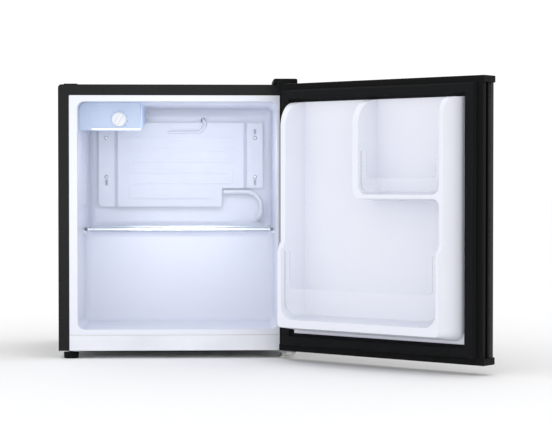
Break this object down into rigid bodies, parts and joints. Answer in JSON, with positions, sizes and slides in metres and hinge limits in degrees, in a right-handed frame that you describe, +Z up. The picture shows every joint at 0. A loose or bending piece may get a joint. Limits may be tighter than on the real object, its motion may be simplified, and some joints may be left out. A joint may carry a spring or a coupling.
{
  "type": "mini fridge",
  "caption": "Compact cube refrigerator, door standing open, with a glass shelf, a plate evaporator, a control box with knob, moulded door pockets and a rear condenser.",
  "frame": {"origin": "on the floor under the middle of the cabinet's footprint", "axes": "+Z up, the front faces -Y, +X to the right of a person standing in front"},
  "size_m": [0.7698, 0.7593, 0.521],
  "materials": {
    "black_steel": "satin",
    "black_plastic": "satin",
    "white_liner": "satin",
    "white_steel": "satin",
    "white_plastic": "satin",
    "clear_plastic": "gloss",
    "shelf_glass": "gloss",
    "black_rubber": "matte",
    "foam": "matte",
    "zinc_steel": "satin",
    "galvanised_steel": "satin",
    "evaporator_aluminium": "satin",
    "compressor_black": "gloss",
    "copper": "satin",
    "magnet": "matte",
    "grey_rubber": "matte"
  },
  "bodies": {
    "cabinet": {"cabinet_wrapper": "black_steel", "inner_liner": "white_liner", "insulation_foam": "foam", "back_panel": "galvanised_steel", "bay_lining": "galvanised_steel", "base_pan": "galvanised_steel", "bottom_front_rail": "white_steel", "spare_hinge_cover": "black_plastic", "compressor_shell": "compressor_black", "compressor_plate": "compressor_black", "compressor_grommets": "black_rubber", "compressor_bolts": "zinc_steel", "relay_cover": "black_plastic", "terminal_box": "black_plastic", "power_cord_gland": "black_rubber", "condenser_coil": "black_steel", "condenser_wires": "black_steel", "condenser_clips": "black_steel", "discharge_tube": "copper", "filter_drier": "copper", "liquid_tube": "copper", "suction_tube": "copper", "evaporator_plate": "evaporator_aluminium", "evaporator_spacers": "white_plastic", "evaporator_screws": "zinc_steel", "inlet_tube": "evaporator_aluminium", "suction_sleeve": "white_plastic", "tube_grommet": "white_plastic", "thermostat_housing": "white_plastic", "thermostat_body": "galvanised_steel", "sensor_tube": "copper", "shelf_ledges": "white_liner", "foot_nuts": "zinc_steel", "rear_feet": "black_plastic", "top_hinge_bracket": "zinc_steel", "top_hinge_pin": "zinc_steel", "top_hinge_screws": "zinc_steel", "top_hinge_cover": "black_plastic", "lower_hinge_bracket": "zinc_steel", "lower_hinge_pin": "zinc_steel", "lower_hinge_screws": "zinc_steel", "hinge_washer": "white_plastic"},
    "door": {"door_panel": "black_steel", "door_top_cap": "black_plastic", "door_bottom_cap": "black_plastic", "door_bushings": "white_plastic", "spare_hinge_plugs": "black_plastic", "door_liner": "white_liner", "door_foam": "foam", "door_gasket": "black_rubber", "gasket_magnets": "magnet", "lower_guard": "clear_plastic", "upper_guard": "clear_plastic", "free_edge_trim": "black_plastic", "hinge_edge_trim": "black_plastic"},
    "shelf": {"glass_shelf": "shelf_glass", "shelf_bumpers": "grey_rubber"},
    "knob": {"thermostat_knob": "white_plastic"},
    "left_foot": {"levelling_foot_left": "black_plastic"},
    "right_foot": {"levelling_screw_right": "zinc_steel"}
  },
  "joints": [
    {"name": "door_hinge", "type": "hinge", "parent": "cabinet", "child": "door", "pos_m": [0.2105, -0.23, 0.26], "axis": [0, 0, 1], "range_deg": [-138.5, 20]},
    {"name": "shelf_slide", "type": "slide", "parent": "cabinet", "child": "shelf", "axis": [0, -1, 0], "range_m": [0, 0.068]},
    {"name": "knob_turn", "type": "hinge", "parent": "cabinet", "child": "knob", "pos_m": [-0.1115, -0.154, 0.4485], "axis": [0, -1, 0], "range_deg": [-135, 135]},
    {"name": "left_foot_turn", "type": "hinge", "parent": "cabinet", "child": "left_foot", "pos_m": [-0.2, -0.184, 0], "axis": [0, 0, 1], "continuous": true},
    {"name": "right_foot_turn", "type": "hinge", "parent": "cabinet", "child": "right_foot", "pos_m": [0.2, -0.184, 0], "axis": [0, 0, 1], "continuous": true}
  ]
}
